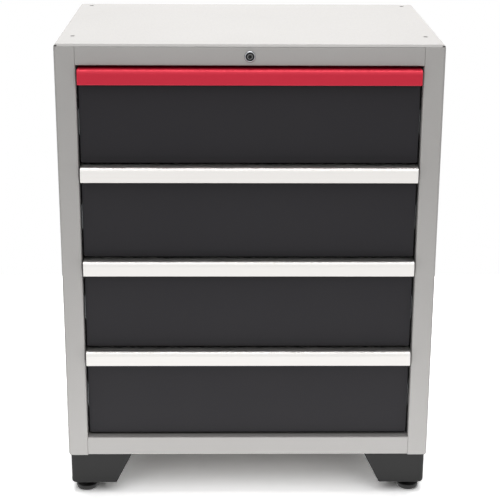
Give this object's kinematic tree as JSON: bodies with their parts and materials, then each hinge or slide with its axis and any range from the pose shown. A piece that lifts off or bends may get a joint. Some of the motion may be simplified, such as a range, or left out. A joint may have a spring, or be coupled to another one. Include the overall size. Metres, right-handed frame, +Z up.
{
  "type": "drawer tool cabinet",
  "caption": "Free-standing steel tool cabinet with full-width drawers on telescopic slides, folded-lip pulls, a key lock that bars every drawer, and folded legs on levelling feet.",
  "frame": {"origin": "on the floor, at the centre of the outline of the whole cabinet seen from above, pulls included", "axes": "+X to the right as seen from the front, +Y to the back, +Z up; the drawer fronts face -Y"},
  "size_m": [0.663, 0.4696, 0.844],
  "materials": {
    "silver_powder_coat": "satin powder coat",
    "charcoal_powder_coat": "satin powder coat",
    "black_powder_coat": "matt powder coat",
    "clear_anodised_aluminium": "brushed, clear anodised",
    "red_anodised_aluminium": "brushed, red anodised",
    "zinc_plated_steel": "bright zinc plated",
    "bearing_steel": "polished",
    "polished_chrome": "polished",
    "blackened_steel": "blackened, worn bright on the rim",
    "black_nylon": "moulded, matt"
  },
  "bodies": {
    "cabinet": {"left_side_panel": "silver_powder_coat", "right_side_panel": "silver_powder_coat", "back_panel": "silver_powder_coat", "top_panel": "silver_powder_coat", "floor_panel": "silver_powder_coat", "top_rail": "silver_powder_coat", "bottom_rail": "silver_powder_coat", "left_upright": "zinc_plated_steel", "right_upright": "zinc_plated_steel", "lock_rod_hanger": "zinc_plated_steel", "lock_bar_guides": "zinc_plated_steel", "leg_bolts": "zinc_plated_steel", "leg_nuts": "zinc_plated_steel", "back_screws": "zinc_plated_steel", "slide_screws": "zinc_plated_steel", "lock_nut": "zinc_plated_steel", "front_left_leg": "black_powder_coat", "front_right_leg": "black_powder_coat", "rear_left_leg": "black_powder_coat", "rear_right_leg": "black_powder_coat", "lock_cylinder": "polished_chrome", "drawer_1_outer_rails": "zinc_plated_steel", "drawer_2_outer_rails": "zinc_plated_steel", "drawer_3_outer_rails": "zinc_plated_steel", "drawer_4_outer_rails": "zinc_plated_steel"},
    "drawer_1": {"drawer_1_box": "charcoal_powder_coat", "drawer_1_front": "charcoal_powder_coat", "drawer_1_pull": "red_anodised_aluminium", "drawer_1_inner_rails": "zinc_plated_steel"},
    "drawer_1_mid": {"drawer_1_mid_rails": "zinc_plated_steel"},
    "drawer_1_outer_cage": {"drawer_1_outer_balls": "bearing_steel"},
    "drawer_1_inner_cage": {"drawer_1_inner_balls": "bearing_steel"},
    "drawer_2": {"drawer_2_box": "charcoal_powder_coat", "drawer_2_front": "charcoal_powder_coat", "drawer_2_pull": "clear_anodised_aluminium", "drawer_2_inner_rails": "zinc_plated_steel"},
    "drawer_2_mid": {"drawer_2_mid_rails": "zinc_plated_steel"},
    "drawer_2_outer_cage": {"drawer_2_outer_balls": "bearing_steel"},
    "drawer_2_inner_cage": {"drawer_2_inner_balls": "bearing_steel"},
    "drawer_3": {"drawer_3_box": "charcoal_powder_coat", "drawer_3_front": "charcoal_powder_coat", "drawer_3_pull": "clear_anodised_aluminium", "drawer_3_inner_rails": "zinc_plated_steel"},
    "drawer_3_mid": {"drawer_3_mid_rails": "zinc_plated_steel"},
    "drawer_3_outer_cage": {"drawer_3_outer_balls": "bearing_steel"},
    "drawer_3_inner_cage": {"drawer_3_inner_balls": "bearing_steel"},
    "drawer_4": {"drawer_4_box": "charcoal_powder_coat", "drawer_4_front": "charcoal_powder_coat", "drawer_4_pull": "clear_anodised_aluminium", "drawer_4_inner_rails": "zinc_plated_steel"},
    "drawer_4_mid": {"drawer_4_mid_rails": "zinc_plated_steel"},
    "drawer_4_outer_cage": {"drawer_4_outer_balls": "bearing_steel"},
    "drawer_4_inner_cage": {"drawer_4_inner_balls": "bearing_steel"},
    "lock_plug": {"lock_plug": "blackened_steel", "lock_rod": "zinc_plated_steel"},
    "lock_bar": {"lock_bar": "zinc_plated_steel"},
    "front_left_foot": {"front_left_foot": "black_nylon"},
    "front_right_foot": {"front_right_foot": "black_nylon"},
    "rear_left_foot": {"rear_left_foot": "black_nylon"},
    "rear_right_foot": {"rear_right_foot": "black_nylon"}
  },
  "joints": [
    {"name": "drawer_1_slide", "type": "slide", "parent": "cabinet", "child": "drawer_1", "axis": [0, -1, 0], "range_m": [0, 0.395]},
    {"name": "drawer_1_mid_slide", "type": "slide", "parent": "cabinet", "child": "drawer_1_mid", "axis": [0, -1, 0], "range_m": [0, 0.1975]},
    {"name": "drawer_1_outer_cage_slide", "type": "slide", "parent": "cabinet", "child": "drawer_1_outer_cage", "axis": [0, -1, 0], "range_m": [0, 0.09875]},
    {"name": "drawer_1_inner_cage_slide", "type": "slide", "parent": "cabinet", "child": "drawer_1_inner_cage", "axis": [0, -1, 0], "range_m": [0, 0.29625]},
    {"name": "drawer_2_slide", "type": "slide", "parent": "cabinet", "child": "drawer_2", "axis": [0, -1, 0], "range_m": [0, 0.395]},
    {"name": "drawer_2_mid_slide", "type": "slide", "parent": "cabinet", "child": "drawer_2_mid", "axis": [0, -1, 0], "range_m": [0, 0.1975]},
    {"name": "drawer_2_outer_cage_slide", "type": "slide", "parent": "cabinet", "child": "drawer_2_outer_cage", "axis": [0, -1, 0], "range_m": [0, 0.09875]},
    {"name": "drawer_2_inner_cage_slide", "type": "slide", "parent": "cabinet", "child": "drawer_2_inner_cage", "axis": [0, -1, 0], "range_m": [0, 0.29625]},
    {"name": "drawer_3_slide", "type": "slide", "parent": "cabinet", "child": "drawer_3", "axis": [0, -1, 0], "range_m": [0, 0.395]},
    {"name": "drawer_3_mid_slide", "type": "slide", "parent": "cabinet", "child": "drawer_3_mid", "axis": [0, -1, 0], "range_m": [0, 0.1975]},
    {"name": "drawer_3_outer_cage_slide", "type": "slide", "parent": "cabinet", "child": "drawer_3_outer_cage", "axis": [0, -1, 0], "range_m": [0, 0.09875]},
    {"name": "drawer_3_inner_cage_slide", "type": "slide", "parent": "cabinet", "child": "drawer_3_inner_cage", "axis": [0, -1, 0], "range_m": [0, 0.29625]},
    {"name": "drawer_4_slide", "type": "slide", "parent": "cabinet", "child": "drawer_4", "axis": [0, -1, 0], "range_m": [0, 0.395]},
    {"name": "drawer_4_mid_slide", "type": "slide", "parent": "cabinet", "child": "drawer_4_mid", "axis": [0, -1, 0], "range_m": [0, 0.1975]},
    {"name": "drawer_4_outer_cage_slide", "type": "slide", "parent": "cabinet", "child": "drawer_4_outer_cage", "axis": [0, -1, 0], "range_m": [0, 0.09875]},
    {"name": "drawer_4_inner_cage_slide", "type": "slide", "parent": "cabinet", "child": "drawer_4_inner_cage", "axis": [0, -1, 0], "range_m": [0, 0.29625]},
    {"name": "lock_turn", "type": "hinge", "parent": "cabinet", "child": "lock_plug", "pos_m": [0, -0.22525, 0.8227], "axis": [0, 1, 0], "range_deg": [0, 90]},
    {"name": "lock_bar_lift", "type": "slide", "parent": "cabinet", "child": "lock_bar", "axis": [0, 0, 1], "range_m": [0, 0.0113]},
    {"name": "front_left_foot_turn", "type": "hinge", "parent": "cabinet", "child": "front_left_foot", "pos_m": [-0.3023, -0.19605, 0], "axis": [0, 0, 1], "continuous": true},
    {"name": "front_right_foot_turn", "type": "hinge", "parent": "cabinet", "child": "front_right_foot", "pos_m": [0.3023, -0.19605, 0], "axis": [0, 0, 1], "continuous": true},
    {"name": "rear_left_foot_turn", "type": "hinge", "parent": "cabinet", "child": "rear_left_foot", "pos_m": [-0.3023, 0.20205, 0], "axis": [0, 0, 1], "continuous": true},
    {"name": "rear_right_foot_turn", "type": "hinge", "parent": "cabinet", "child": "rear_right_foot", "pos_m": [0.3023, 0.20205, 0], "axis": [0, 0, 1], "continuous": true}
  ],
  "couplings": [
    {"joint": "drawer_1_mid_slide", "follows": "drawer_1_slide", "ratio": 0.5},
    {"joint": "drawer_1_outer_cage_slide", "follows": "drawer_1_slide", "ratio": 0.25},
    {"joint": "drawer_1_inner_cage_slide", "follows": "drawer_1_slide", "ratio": 0.75},
    {"joint": "drawer_2_mid_slide", "follows": "drawer_2_slide", "ratio": 0.5},
    {"joint": "drawer_2_outer_cage_slide", "follows": "drawer_2_slide", "ratio": 0.25},
    {"joint": "drawer_2_inner_cage_slide", "follows": "drawer_2_slide", "ratio": 0.75},
    {"joint": "drawer_3_mid_slide", "follows": "drawer_3_slide", "ratio": 0.5},
    {"joint": "drawer_3_outer_cage_slide", "follows": "drawer_3_slide", "ratio": 0.25},
    {"joint": "drawer_3_inner_cage_slide", "follows": "drawer_3_slide", "ratio": 0.75},
    {"joint": "drawer_4_mid_slide", "follows": "drawer_4_slide", "ratio": 0.5},
    {"joint": "drawer_4_outer_cage_slide", "follows": "drawer_4_slide", "ratio": 0.25},
    {"joint": "drawer_4_inner_cage_slide", "follows": "drawer_4_slide", "ratio": 0.75},
    {"joint": "lock_turn", "follows": "lock_bar_lift", "rad_per_m": 138.84}
  ]
}
